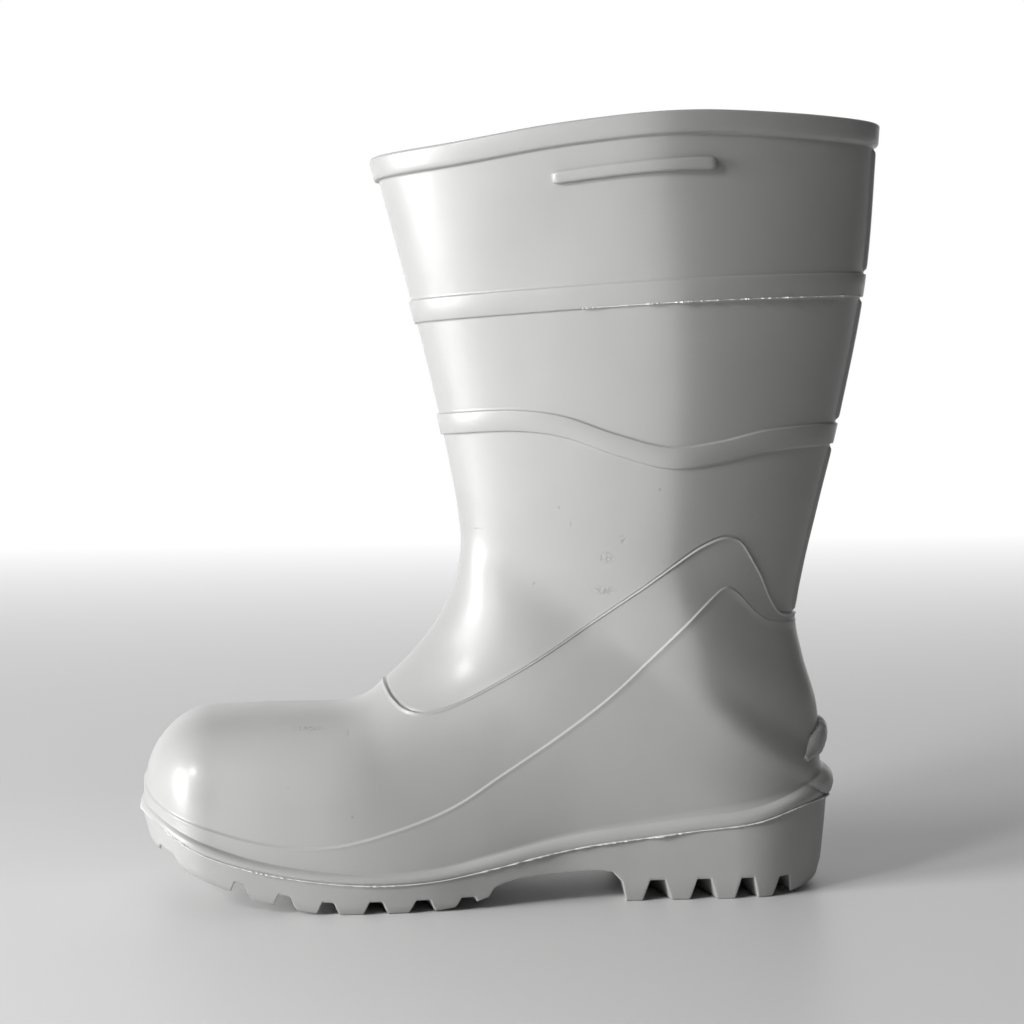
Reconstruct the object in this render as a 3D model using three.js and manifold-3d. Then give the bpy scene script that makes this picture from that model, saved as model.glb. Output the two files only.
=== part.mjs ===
// Mid-calf work boot for the left foot, moulded in one plastic: a hollow upper with raised
// bands, an outsole with deep lugs, and a loose insole.
// Millimetres. +X runs from heel to toe, +Y to the outer side of the foot, +Z up.
// The origin is on the floor, under the middle of the second heel lug.
import * as THREE from 'three';
import { mergeVertices } from 'three/addons/utils/BufferGeometryUtils.js';
import Module from 'manifold-3d';

// Lengths along the foot
const soleLength = 296;
const toeBulge = 2.5; // how far the lip stands out past the toe of the upper
const sideBulge = 4.5; // the same at the heel and along both sides
const ankleLength = 148;
const ankleSetIn = 9; // the back of the ankle, in front of the back of the heel
const collarLength = 214;
const collarOverhang = 22; // the back of the collar, behind the back of the heel

// Widths across
const ballWidth = 108;
const heelWidth = 77;
const ankleWidth = 75;
const collarWidth = 104;
const toeSwing = 9; // how far the toe curves towards the inner side

// Heights over the floor
const bootHeight = 325;
const ankleHeight = 144;
const vampHeight = 80;
const toeTipHeight = 44;
const archHeight = 14;
const toeSpring = 27;
const heelRoll = 6;
const treadRise = 5; // the tread's rear edge at the arch, over the floor

// Walls, bands and clearances
const wall = 2.6;
const insoleThickness = 4;
const clearance = 0.4;
const insoleMargin = 0.6; // between the insole's edge and the wall around it
const collarBand = 9.5;
const collarProud = 2;
const straightBandHeight = 9.7;
const waveBandHeight = 9;
const bandProud = 1.2;
const bandEdge = 0.8; // height of a band's rounded edge
const panelStep = 0.6; // how far each panel of the foot stands out over the one above it
const lipHeight = 5;
const lipFoot = 0.85; // how much of the lip's reach is left where it meets the sole
const stripProud = 1.2;
const stripGroove = 0.4; // what is left of the back strip's height along its middle
const stripSpread = 0.2; // half the back strip's width, as an angle round the leg
const stripGap = 1.2; // the strip stops this far from each band
const spurThickness = 10;
const spurProud = 4.5;
const spurLength = 9;
const spurHeight = 67;
const spurFall = 11;
const spurTip = 0.2; // the share of its length over which each end of the spur tapers
const spurTipSize = 0.45; // how thick that end is
const ridgeSunk = 0.75; // how far a ridge reaches into the wall under it

// The raised grip on the outer side, under the collar
const gripLength = 68;
const gripHeight = 5.2;
const gripProud = 3;
const gripDrop = 21.5;
const gripCentre = 0.49; // from the front of the collar (0) to its back (1)

// Lugs under the sole
const grooveWidth = 10;
const forefootLug = 5.6;
const heelLug = 9;
const grooveRoot = 0.52; // width at the root, as a share of the width at the floor
const grooveSlant = THREE.MathUtils.degToRad(13);
const middleRib = 14; // the rib along the middle of the sole, where the grooves end

// How square the outline of the foot is: from above at the toe and the heel, and the toe's top
const toeRound = 2.2;
const heelRound = 2.1;
const toeTopRound = 2.6;
const swingRound = 1.6; // how late the foot's curve towards the inner side sets in
const panelLead = 0.6; // the foot's courses sag sooner than their ends move forward

// How finely the curved bodies are cut into faces
const around = 56;
const stripEdge = 0.03; // the angle over which the strip's sides rise
const lineSteps = 240;
const searchSteps = 26;
const gripSteps = 8;
const spurSteps = 20;
const ridgeCorners = 12;

// Where heights and lengths are counted from
const toeTip = soleLength - toeBulge;
const heelEnd = sideBulge - 0.5;
const toeStart = 0.885 * soleLength; // from here forward the toe closes on round curves
const heelStart = 0.15 * soleLength; // and from here back the heel does
const ankleFront = ankleSetIn + ankleLength;
const collarBack = -collarOverhang;
const collarFront = collarBack + collarLength;
const heelHalf = heelWidth / 2 - sideBulge;
const ballHalf = ballWidth / 2 - sideBulge;
const restX = 0.2265 * soleLength;
const treadFlat = [0.591 * soleLength, 0.716 * soleLength];
const heelFlat = 0.112 * soleLength;
const mix = THREE.MathUtils.lerp;
const clamp = THREE.MathUtils.clamp;

// A height as a share: 1 is the top of the vamp, 2 the ankle, 3 the back of the collar.
function heightAt(share) {
  if (share <= 1) return share * vampHeight;
  if (share <= 2) return mix(vampHeight, ankleHeight, share - 1);
  return mix(ankleHeight, bootHeight, share - 2);
}

// The foot's sections run up from the sole line to the top of the foot. Columns: where each
// starts along the sole, how far it ends from the ankle's front (0) to the toe's round part
// (1), how high it ends, its half widths on the way from heel (0) to ball (1), where it is
// widest, and how square it is above and below that place.
const footSections = [
  { start: 0.885, end: 1.000, top: 0.985, outer: 1.06, inner: 1.00, belly: 0.20, crown: 2.7, side: 2.0 },
  { start: 0.811, end: 0.790, top: 0.996, outer: 1.13, inner: 1.03, belly: 0.21, crown: 2.6, side: 2.0 },
  { start: 0.726, end: 0.552, top: 1.004, outer: 1.16, inner: 0.98, belly: 0.22, crown: 2.5, side: 2.0 },
  { start: 0.665, end: 0.445, top: 1.025, outer: 1.10, inner: 0.87, belly: 0.22, crown: 2.4, side: 2.0 },
  { start: 0.595, end: 0.371, top: 1.086, outer: 0.92, inner: 0.65, belly: 0.22, crown: 2.2, side: 2.0 },
  { start: 0.507, end: 0.300, top: 1.203, outer: 0.65, inner: 0.39, belly: 0.24, crown: 2.0, side: 2.0 },
  { start: 0.412, end: 0.210, top: 1.344, outer: 0.42, inner: 0.19, belly: 0.27, crown: 1.9, side: 2.0 },
  { start: 0.311, end: 0.124, top: 1.516, outer: 0.29, inner: 0.13, belly: 0.31, crown: 1.9, side: 2.0 },
  { start: 0.209, end: 0.057, top: 1.703, outer: 0.23, inner: 0.15, belly: 0.35, crown: 2.0, side: 2.0 },
  { start: 0.122, end: 0.022, top: 1.850, outer: 0.22, inner: 0.19, belly: 0.38, crown: 2.0, side: 2.1 },
];

// The heel's and the leg's sections run from the back line forward to the front line. Columns:
// how far each end has moved from the ankle to the collar, its height, the half width on the
// way from ankle to collar, and the same three shape numbers.
const legSections = [
  { back: 0.16, low: 0.500, front: 0.000, top: 2.015, flare: 0.00, belly: 0.41, crown: 2.0, side: 2.2 },
  { back: 0.17, low: 0.700, front: 0.000, top: 2.050, flare: 0.00, belly: 0.43, crown: 2.0, side: 2.2 },
  { back: 0.13, low: 0.975, front: 0.017, top: 2.090, flare: 0.00, belly: 0.45, crown: 2.0, side: 2.1 },
  { back: -0.05, low: 1.280, front: 0.045, top: 2.133, flare: 0.01, belly: 0.47, crown: 2.0, side: 2.1 },
  { back: -0.16, low: 1.578, front: 0.094, top: 2.188, flare: 0.03, belly: 0.48, crown: 2.0, side: 2.1 },
  { back: -0.06, low: 1.890, front: 0.157, top: 2.254, flare: 0.10, belly: 0.49, crown: 2.0, side: 2.0 },
  { back: 0.16, low: 2.116, front: 0.257, top: 2.348, flare: 0.24, belly: 0.50, crown: 2.0, side: 2.0 },
  { back: 0.48, low: 2.337, front: 0.443, top: 2.508, flare: 0.45, belly: 0.50, crown: 2.0, side: 2.0 },
  { back: 0.83, low: 2.646, front: 0.686, top: 2.696, flare: 0.72, belly: 0.50, crown: 1.9, side: 1.9 },
  { back: 1.00, low: 3.000, front: 1.000, top: 2.934, flare: 1.00, belly: 0.50, crown: 1.8, side: 1.8 },
];

// Half widths where the upper meets the sole, on the way from heel (0) to ball (1)
const solePlan = [
  { at: 0.000, outer: 0.00, inner: 0.00 },
  { at: 0.150, outer: 0.00, inner: 0.00 },
  { at: 0.300, outer: 0.04, inner: -0.06 },
  { at: 0.400, outer: 0.13, inner: -0.19 },
  { at: 0.490, outer: 0.45, inner: 0.06 },
  { at: 0.575, outer: 0.81, inner: 0.45 },
  { at: 0.660, outer: 1.03, inner: 0.77 },
  { at: 0.730, outer: 1.08, inner: 0.93 },
  { at: 0.811, outer: 1.08, inner: 0.97 },
  { at: 1.000, outer: 1.00, inner: 0.95 },
];

// The line where upper and sole meet, from the toe back to the heel: its height, and the
// height of the lip over it as a share of the lip's usual height
const soleLine = [
  { at: 0.00, up: 0.500, lip: 0.7 },
  { at: 0.03, up: 0.462, lip: 0.7 },
  { at: 0.10, up: 0.325, lip: 0.9 },
  { at: 0.18, up: 0.238, lip: 0.8 },
  { at: 0.27, up: 0.183, lip: 0.8 },
  { at: 0.35, up: 0.163, lip: 0.8 },
  { at: 0.43, up: 0.173, lip: 0.9 },
  { at: 0.51, up: 0.219, lip: 1.1 },
  { at: 0.58, up: 0.269, lip: 1.2 },
  { at: 0.65, up: 0.313, lip: 1.2 },
  { at: 0.74, up: 0.350, lip: 1.2 },
  { at: 0.80, up: 0.375, lip: 1.2 },
  { at: 0.89, up: 0.410, lip: 1.2 },
  { at: 0.96, up: 0.475, lip: 1.5 },
  { at: 1.00, up: 0.494, lip: 2.4 },
];

// Lines round the upper, from its front edge (0) to its back edge (1)
const collarEdge = [
  { at: 0.00, up: 2.934 },
  { at: 0.15, up: 2.950 },
  { at: 0.36, up: 2.983 },
  { at: 0.60, up: 3.006 },
  { at: 0.78, up: 3.007 },
  { at: 1.00, up: 3.000 },
];
const straightBand = [
  { at: 0.00, up: 2.602 },
  { at: 0.50, up: 2.629 },
  { at: 1.00, up: 2.652 },
];
const waveBand = [
  { at: 0.00, up: 2.337 },
  { at: 0.18, up: 2.343 },
  { at: 0.30, up: 2.328 },
  { at: 0.43, up: 2.285 },
  { at: 0.56, up: 2.254 },
  { at: 0.68, up: 2.266 },
  { at: 0.80, up: 2.290 },
  { at: 1.00, up: 2.304 },
];
const upperPanel = [
  { at: 0.00, up: 1.172 },
  { at: 0.02, up: 1.090 },
  { at: 0.05, up: 1.025 },
  { at: 0.10, up: 1.000 },
  { at: 0.17, up: 1.050 },
  { at: 0.27, up: 1.188 },
  { at: 0.41, up: 1.420 },
  { at: 0.60, up: 1.780 },
  { at: 0.73, up: 2.012 },
  { at: 0.79, up: 2.044 },
  { at: 0.85, up: 2.020 },
  { at: 0.90, up: 1.870 },
  { at: 0.95, up: 1.660 },
  { at: 1.00, up: 1.578 },
];
const lowerPanel = [
  { at: 0.00, up: 0.650 },
  { at: 0.02, up: 0.580 },
  { at: 0.10, up: 0.462 },
  { at: 0.20, up: 0.370 },
  { at: 0.29, up: 0.358 },
  { at: 0.39, up: 0.437 },
  { at: 0.47, up: 0.540 },
  { at: 0.54, up: 0.687 },
  { at: 0.63, up: 0.888 },
  { at: 0.72, up: 1.156 },
  { at: 0.81, up: 1.530 },
  { at: 0.88, up: 1.830 },
  { at: 0.91, up: 1.850 },
  { at: 0.94, up: 1.710 },
  { at: 0.97, up: 1.560 },
  { at: 1.00, up: 1.515 },
];

// Grooves across the sole: place along it, and width and depth against the usual ones
const forefootGrooves = [
  { at: 0.934, width: 0.85, depth: 0.95 },
  { at: 0.840, width: 0.75, depth: 0.95 },
  { at: 0.779, width: 0.90, depth: 1.00 },
  { at: 0.720, width: 0.90, depth: 1.00 },
  { at: 0.655, width: 1.00, depth: 1.00 },
  { at: 0.591, width: 1.10, depth: 1.00 },
  { at: 0.529, width: 1.10, depth: 1.00 },
];
const heelGrooves = [
  { at: 0.260, width: 1.20, depth: 1.00 },
  { at: 0.194, width: 1.10, depth: 1.00 },
  { at: 0.132, width: 1.00, depth: 1.00 },
  { at: 0.079, width: 0.90, depth: 0.90 },
];

// The arch from the side, from the heel forward to the flat of the tread: place along the
// sole, and height as a share of the arch's
const archLine = [
  { at: 0.304, up: 0.00 },
  { at: 0.310, up: 0.60 },
  { at: 0.324, up: 0.93 },
  { at: 0.345, up: 1.00 },
  { at: 0.372, up: 0.98 },
  { at: 0.400, up: 0.94 },
  { at: 0.430, up: 0.90 },
  { at: 0.460, up: 0.84 },
  { at: 0.480, up: 0.75 },
  { at: 0.493, up: 0.62 },
  { at: 0.500, up: treadRise / archHeight },
  { at: 0.520, up: 0.22 },
  { at: 0.545, up: 0.11 },
  { at: 0.568, up: 0.04 },
  { at: 0.591, up: 0.00 },
];

// The lip's shape below its top edge: place on the way down to the sole line, and how much
// of the lip's reach it stands out
const lipShape = [
  { down: 0.25, out: 0.75 },
  { down: 0.55, out: 1.00 },
  { down: 1.00, out: lipFoot },
];

// The sole's side, from the sole line down to the tread: height on the way up from the tread,
// and how far the side is set in under the lip
const soleSide = [
  { up: 1.00, setIn: 0.0 },
  { up: 0.72, setIn: 0.8 },
  { up: 0.22, setIn: 2.6 },
  { up: 0.00, setIn: 4.6 },
];

// One column of a table, read smoothly at a place counted in rows
function readRow(rows, column, place) {
  const last = rows.length - 1;
  const i = clamp(Math.floor(place), 0, last - 1);
  const t = place - i;
  const b = rows[i][column];
  const c = rows[i + 1][column];
  const a = i > 0 ? rows[i - 1][column] : 2 * b - c;
  const d = i < last - 1 ? rows[i + 2][column] : 2 * c - b;
  return 0.5 * (2 * b + (c - a) * t + (2 * a - 5 * b + 4 * c - d) * t * t + (3 * b - a - 3 * c + d) * t ** 3);
}

// One column of a table, read smoothly at a value of its column "at"
function readAt(rows, column, at) {
  const last = rows.length - 1;
  let i = 0;
  while (i < last - 1 && rows[i + 1].at < at) i += 1;
  const slope = (k) => {
    const a = rows[Math.max(k - 1, 0)];
    const b = rows[Math.min(k + 1, last)];
    return (b[column] - a[column]) / (b.at - a.at);
  };
  const span = rows[i + 1].at - rows[i].at;
  const rise = rows[i + 1][column] - rows[i][column];
  const t = clamp((at - rows[i].at) / span, 0, 1);
  const bend = (slope(i) * span - rise) * (1 - t) - (slope(i + 1) * span - rise) * t;
  return rows[i][column] + rise * t + bend * t * (1 - t);
}

// A table of shares turned into heights
function heights(rows) {
  return rows.map((row) => ({ at: row.at, z: heightAt(row.up) }));
}
const soleHeights = heights(soleLine);
const lipHeights = soleLine.map((row) => ({ at: row.at, z: heightAt(row.up) + row.lip * lipHeight }));

function soleLineZ(x) {
  return readAt(soleHeights, 'z', clamp((toeTip - x) / (toeTip - heelEnd), 0, 1));
}

// A quarter of a rounded square: 1 at 0, closing to 0 at 1
function roundOff(t, power) {
  return (1 - clamp(t, 0, 1) ** power) ** (1 / power);
}

const toeReach = (x) => (x - toeStart) / (toeTip - toeStart);
const heelReach = (x) => (heelStart - x) / (heelStart - heelEnd);

// Half width of the upper where it meets the sole
function planHalf(x, side) {
  const share = readAt(solePlan, side, x / soleLength);
  const ends = roundOff(toeReach(x), toeRound) * roundOff(heelReach(x), heelRound);
  return mix(heelHalf, ballHalf, share) * ends;
}

// All sections in millimetres, from the toe back to the heel and up to the collar
const sections = [
  ...footSections.map((row) => ({
    ...row,
    frontX: mix(ankleFront, toeStart, row.end),
    frontZ: heightAt(row.top),
    backX: row.start * soleLength,
    backZ: soleLineZ(row.start * soleLength),
    outer: mix(heelHalf, ballHalf, row.outer),
    inner: mix(heelHalf, ballHalf, row.inner),
  })),
  ...legSections.map((row) => ({
    ...row,
    frontX: mix(ankleFront, collarFront, row.front),
    frontZ: heightAt(row.top),
    backX: mix(ankleSetIn, collarBack, row.back),
    backZ: heightAt(row.low),
    outer: mix(ankleWidth, collarWidth, row.flare) / 2,
    inner: mix(ankleWidth, collarWidth, row.flare) / 2,
  })),
];
const heelRow = footSections.length;
const collarRow = sections.length - 1;

// The top of the toe, which falls to the tip on a round curve
function toeTopZ(x) {
  return mix(toeTipHeight, sections[0].frontZ, roundOff(toeReach(x), toeTopRound));
}

// Where the section that runs through a point of the side view lies, counted in rows
function placeOf(x, z) {
  let low = 0;
  let high = collarRow;
  for (let i = 0; i < searchSteps; i += 1) {
    const middle = (low + high) / 2;
    const backX = readRow(sections, 'backX', middle);
    const backZ = readRow(sections, 'backZ', middle);
    const alongX = readRow(sections, 'frontX', middle) - backX;
    const alongZ = readRow(sections, 'frontZ', middle) - backZ;
    if (alongX * (z - backZ) > alongZ * (x - backX)) low = middle;
    else high = middle;
  }
  return (low + high) / 2;
}

// The upper's half width at a point of the side view
function halfWidth(x, z, side) {
  const inToe = x > toeStart;
  const place = inToe ? 0 : placeOf(x, z);
  const read = (column) => readRow(sections, column, place);
  const backX = inToe ? x : read('backX');
  const backZ = inToe ? soleLineZ(x) : read('backZ');
  const alongX = inToe ? 0 : read('frontX') - backX;
  const alongZ = inToe ? toeTopZ(x) - backZ : read('frontZ') - backZ;
  const length = Math.hypot(alongX, alongZ);
  const share = clamp(((x - backX) * alongX + (z - backZ) * alongZ) / length ** 2, 0, 1);
  const closing = inToe ? roundOff(toeReach(x), toeRound) : 1;
  const widest = read(side) * closing;
  const belly = read('belly');
  if (share >= belly || widest === 0) {
    return widest * roundOff((share - belly) / (1 - belly), read('crown'));
  }
  const foot = place < heelRow ? Math.min(planHalf(backX, side) / widest, 1) : 0;
  const power = read('side');
  return widest * roundOff(roundOff(foot, power) * (belly - share) / belly, power);
}

// A line of points in the side view, with the share of its length that each one lies at
function measured(points) {
  let length = 0;
  const shares = points.map((point, i) => {
    if (i > 0) length += Math.hypot(point.x - points[i - 1].x, point.z - points[i - 1].z);
    return length;
  });
  return points.map((point, i) => ({ ...point, share: shares[i] / length }));
}

function pointOn(line, share) {
  const at = clamp(share, 0, 1);
  let i = 1;
  while (i < line.length - 1 && line[i].share < at) i += 1;
  const t = (at - line[i - 1].share) / (line[i].share - line[i - 1].share);
  return { x: mix(line[i - 1].x, line[i].x, t), z: mix(line[i - 1].z, line[i].z, t) };
}

// Where a line that falls from the collar passes a height
function shareAt(line, z) {
  let i = 1;
  while (i < line.length - 1 && line[i].z > z) i += 1;
  const t = clamp((line[i - 1].z - z) / (line[i - 1].z - line[i].z), 0, 1);
  return mix(line[i - 1].share, line[i].share, t);
}

// The boot's outline from the side: down the front to the toe's tip, and down the back
function outlines() {
  const front = [];
  const back = [];
  for (let i = 0; i <= lineSteps; i += 1) {
    const place = collarRow * (1 - i / lineSteps);
    front.push({ x: readRow(sections, 'frontX', place), z: readRow(sections, 'frontZ', place) });
    const heel = mix(collarRow, heelRow, i / lineSteps);
    back.push({ x: readRow(sections, 'backX', heel), z: readRow(sections, 'backZ', heel) });
  }
  for (let i = 1; i <= lineSteps / 4; i += 1) {
    const x = mix(toeStart, toeTip, Math.sin((i / (lineSteps / 4)) * (Math.PI / 2)));
    front.push({ x, z: toeTopZ(x) });
  }
  front.push({ x: toeTip, z: soleLineZ(toeTip) });
  return { front: measured(front), back: measured(back) };
}
const { front: frontLine, back: backLine } = outlines();

// A course is a closed line round the upper, kept as its two ends on the side view's outlines
// and its bow between them.
function course(rows, drop = 0) {
  const first = rows[0].z - drop;
  const last = rows[rows.length - 1].z - drop;
  return {
    front: shareAt(frontLine, first),
    back: shareAt(backLine, last),
    bow: (u) => readAt(rows, 'z', u) - drop - mix(first, last, u),
  };
}

// The course where upper and sole meet, which is cut off level
const soleCourse = { ...course(soleHeights), level: true };

// A course between two others; its bow may be further on its way than its ends.
function between(a, b, share, lead = 1) {
  return {
    front: mix(a.front, b.front, share),
    back: mix(a.back, b.back, share),
    bow: (u) => mix(a.bow(u), b.bow(u), share ** lead),
  };
}

// A point of the smooth skin: the angle runs from the front round the outer side to the back
function skin(line, angle) {
  const front = pointOn(frontLine, line.front);
  const back = pointOn(backLine, line.back);
  const u = (1 - Math.cos(angle)) / 2;
  const x = mix(front.x, back.x, u);
  const z = mix(front.z, back.z, u) + line.bow(u);
  const across = Math.sin(angle);
  if (Math.abs(across) < 1e-9) return new THREE.Vector3(x, 0, z);
  const y = across > 0 ? halfWidth(x, z, 'outer') : -halfWidth(x, z, 'inner');
  return new THREE.Vector3(x, y, z);
}

// The way out of the skin at a point, from how fast the square of the half width changes
function outward(point) {
  const step = 0.5;
  const side = point.y < 0 ? 'inner' : 'outer';
  const square = (x, z) => halfWidth(x, z, side) ** 2;
  const slopeX = (square(point.x + step, point.z) - square(point.x - step, point.z)) / (2 * step);
  const slopeZ = (square(point.x, point.z + step) - square(point.x, point.z - step)) / (2 * step);
  return new THREE.Vector3(-slopeX, 2 * point.y, -slopeZ).normalize();
}

const backShare = (angle) => (1 - Math.cos(angle)) / 2;
const smooth = THREE.MathUtils.smoothstep;

// How far the lip stands out: little at the toe, more along the sides and the heel
function lipOut(angle) {
  return mix(toeBulge, sideBulge, smooth(backShare(angle), 0, 0.15));
}

// The strip up the back has a groove along its middle.
function stripOut(angle) {
  const off = Math.abs(angle - Math.PI);
  if (off > stripSpread) return 0;
  return off < stripSpread / 4 ? stripGroove * stripProud : stripProud;
}

// The lower panel fades into the upper one behind the ankle.
function lowerPanelOut(angle) {
  return panelStep * (2 - smooth(backShare(angle), 0.78, 0.92));
}

// The angles of the points of a course, closer together at the edges of the back strip
function courseAngles() {
  const half = [];
  const sideSteps = around / 2 - 3;
  const edge = Math.PI - stripSpread - stripEdge;
  for (let i = 0; i <= sideSteps; i += 1) half.push((edge * i) / sideSteps);
  half.push(Math.PI - stripSpread, Math.PI - stripSpread / 2);
  const mirrored = half.slice(1).reverse().map((angle) => 2 * Math.PI - angle);
  return [...half, Math.PI, ...mirrored];
}
const angles = courseAngles();

// Courses at even steps between two others, without their ends
function spread(a, b, count, out, lead = 1) {
  return Array.from({ length: count }, (_, i) => [between(a, b, (i + 1) / (count + 1), lead), out]);
}

// The outside of the upper, from the collar down to the lip: each course and how far it
// stands out from the smooth skin
function outerCourses() {
  const collar = (drop) => course(heights(collarEdge), drop);
  const straight = (drop) => course(heights(straightBand), drop);
  const wave = (drop) => course(heights(waveBand), drop);
  const upper = (drop) => course(heights(upperPanel), drop);
  const lower = (drop) => course(heights(lowerPanel), drop);
  const lip = course(lipHeights);
  const flat = () => 0;
  const band = (line, height, proud) => [
    [line(0), flat],
    [line(bandEdge), () => proud],
    [line(height - bandEdge), () => proud],
    [line(height), flat],
  ];
  const panel = () => panelStep;
  const lipCourse = (row) => (row.down < 1 ? between(lip, soleCourse, row.down) : soleCourse);
  return [
    [collar(0), () => collarProud / 2],
    [collar(collarProud / 2), () => collarProud],
    [collar(collarBand - bandEdge), () => collarProud],
    [collar(collarBand), flat],
    [collar(collarBand + stripGap), stripOut],
    ...spread(collar(collarBand), straight(0), 3, stripOut),
    [straight(-stripGap), stripOut],
    ...band(straight, straightBandHeight, bandProud),
    [straight(straightBandHeight + stripGap), stripOut],
    ...spread(straight(straightBandHeight), wave(0), 2, stripOut),
    [wave(-stripGap), stripOut],
    ...band(wave, waveBandHeight, bandProud),
    [wave(waveBandHeight + stripGap), stripOut],
    ...spread(wave(waveBandHeight), upper(0), 6, stripOut),
    [upper(-panelStep / 2), flat],
    [upper(panelStep / 2), panel],
    ...spread(upper(0), lower(0), 9, panel, panelLead),
    [lower(-panelStep / 2), panel],
    [lower(panelStep / 2), lowerPanelOut],
    ...spread(lower(0), lip, 4, lowerPanelOut),
    [lip, lowerPanelOut],
    ...lipShape.map((row) => [lipCourse(row), (angle) => row.out * lipOut(angle)]),
  ];
}

// The inside of the upper, from the sole line up to the collar
function innerCourses() {
  const collar = course(heights(collarEdge));
  const straight = course(heights(straightBand));
  const upper = course(heights(upperPanel));
  const lower = course(heights(lowerPanel));
  const lip = course(lipHeights);
  const inside = () => -wall;
  return [
    [soleCourse, inside],
    [lip, inside],
    ...spread(lip, lower, 2, inside),
    [lower, inside],
    ...spread(upper, lower, 5, inside, panelLead).reverse(),
    [upper, inside],
    ...spread(upper, straight, 3, inside),
    [straight, inside],
    ...spread(straight, collar, 2, inside),
    [course(heights(collarEdge), collarProud), inside],
    [collar, () => collarProud / 2 - wall],
  ];
}

// The foot curves towards its inner side from the waist to the toe.
function swung(point) {
  const reach = clamp((point.x / soleLength - 0.5) * 2, 0, 1);
  return new THREE.Vector3(point.x - restX, point.y - toeSwing * reach ** swingRound, point.z);
}

// A closed body from rows of points; each row is a loop, and the rows may close too
function bodyFrom(rows, closedRows) {
  const positions = rows.flat().flatMap((point) => swung(point).toArray());
  const width = rows[0].length;
  const index = [];
  const bands = closedRows ? rows.length : rows.length - 1;
  for (let i = 0; i < bands; i += 1) {
    for (let j = 0; j < width; j += 1) {
      const a = i * width + j;
      const b = i * width + ((j + 1) % width);
      const c = ((i + 1) % rows.length) * width + j;
      const d = ((i + 1) % rows.length) * width + ((j + 1) % width);
      index.push(a, c, b, b, c, d);
    }
  }
  let geometry = new THREE.BufferGeometry();
  geometry.setAttribute('position', new THREE.Float32BufferAttribute(positions, 3));
  geometry.setIndex(index);
  geometry = mergeVertices(geometry, 1e-4);
  const merged = geometry.getIndex().array;
  const kept = [];
  for (let i = 0; i < merged.length; i += 3) {
    const [a, b, c] = merged.slice(i, i + 3);
    if (a !== b && b !== c && a !== c) kept.push(a, b, c);
  }
  geometry.setIndex(kept);
  return geometry;
}

// Solids are joined and cut as manifolds.
const wasm = await Module();
wasm.setup();

function toSolid(geometry) {
  const bare = geometry.clone();
  bare.deleteAttribute('normal');
  bare.deleteAttribute('uv');
  const merged = mergeVertices(bare, 1e-4);
  const mesh = new wasm.Mesh({
    numProp: 3,
    vertProperties: Float32Array.from(merged.getAttribute('position').array),
    triVerts: Uint32Array.from(merged.getIndex().array),
  });
  return new wasm.Manifold(mesh);
}

function toGeometry(solid) {
  const mesh = solid.getMesh();
  const geometry = new THREE.BufferGeometry();
  geometry.setAttribute('position', new THREE.Float32BufferAttribute(mesh.vertProperties, 3));
  geometry.setIndex(Array.from(mesh.triVerts));
  geometry.computeVertexNormals();
  return geometry;
}

// A rounded ridge along points of the skin, standing proud and sunk a little into the wall.
// Its ends taper over the given share of its length.
function ridge(points, height, proud, taper) {
  const sunk = ridgeSunk * wall;
  const last = points.length - 1;
  const ring = (point, i, size) => {
    const away = outward(point);
    const along = points[Math.min(i + 1, last)].clone().sub(points[Math.max(i - 1, 0)]).normalize();
    const up = away.clone().cross(along).normalize();
    const centre = point.clone().addScaledVector(away, (proud - sunk) / 2);
    return Array.from({ length: ridgeCorners }, (_, k) => {
      const turn = (2 * Math.PI * k) / ridgeCorners;
      return centre.clone()
        .addScaledVector(away, (size * Math.cos(turn) * (proud + sunk)) / 2)
        .addScaledVector(up, (size * Math.sin(turn) * height) / 2);
    });
  };
  const full = points.map((point, i) => {
    const fromEnd = Math.min(i, last - i) / last;
    return ring(point, i, taper > 0 ? mix(spurTipSize, 1, smooth(fromEnd, 0, taper)) : 1);
  });
  return bodyFrom([ring(points[0], 0, 0), ...full, ring(points[last], last, 0)], false);
}

// The grip follows the collar's edge along the outer side.
function grip() {
  const line = course(heights(collarEdge), gripDrop);
  const reach = gripLength / collarLength / 2;
  const points = Array.from({ length: gripSteps + 1 }, (_, i) => {
    const share = gripCentre + reach * ((2 * i) / gripSteps - 1);
    return skin(line, Math.acos(1 - 2 * share));
  });
  return ridge(points, gripHeight, gripProud, 0);
}

// The spur wraps the back of the heel, highest in the middle, to push the boot off by.
function spur() {
  const start = pointOn(backLine, shareAt(backLine, spurHeight)).x;
  const points = Array.from({ length: spurSteps + 1 }, (_, i) => {
    const place = 1 - (2 * i) / spurSteps;
    const x = start + spurLength * place ** 2;
    const z = spurHeight - spurFall * Math.abs(place) ** 1.4;
    const side = place < 0 ? 'inner' : 'outer';
    const y = place === 0 ? 0 : Math.sign(place) * halfWidth(x, z, side);
    return new THREE.Vector3(x, y, z);
  });
  return ridge(points, spurThickness, spurProud, spurTip);
}

function upper() {
  const rows = [...outerCourses(), ...innerCourses()].map(([line, out]) =>
    angles.map((angle) => {
      const point = skin(line, angle);
      const away = outward(point).multiplyScalar(out(angle));
      if (line.level) away.z = 0;
      point.add(away);
      if (line.level) point.z = soleLineZ(point.x);
      return point;
    }));
  const shell = toSolid(bodyFrom(rows, true));
  return toGeometry(shell.add(toSolid(grip())).add(toSolid(spur())));
}

// The underside: flat under the heel and the ball, rolled up at both ends and at the waist
function treadZ(x) {
  if (x < heelFlat) return heelRoll * ((heelFlat - x) / heelFlat) ** 2;
  if (x > treadFlat[1]) return toeSpring * ((x - treadFlat[1]) / (toeTip - treadFlat[1])) ** 1.5;
  return 0;
}

// A point of the sole's outline at an angle, pushed out or in level
function outlinePoint(angle, out) {
  const point = skin(soleCourse, angle);
  const away = outward(point);
  away.z = 0;
  return point.addScaledVector(away.normalize(), out);
}

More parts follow.
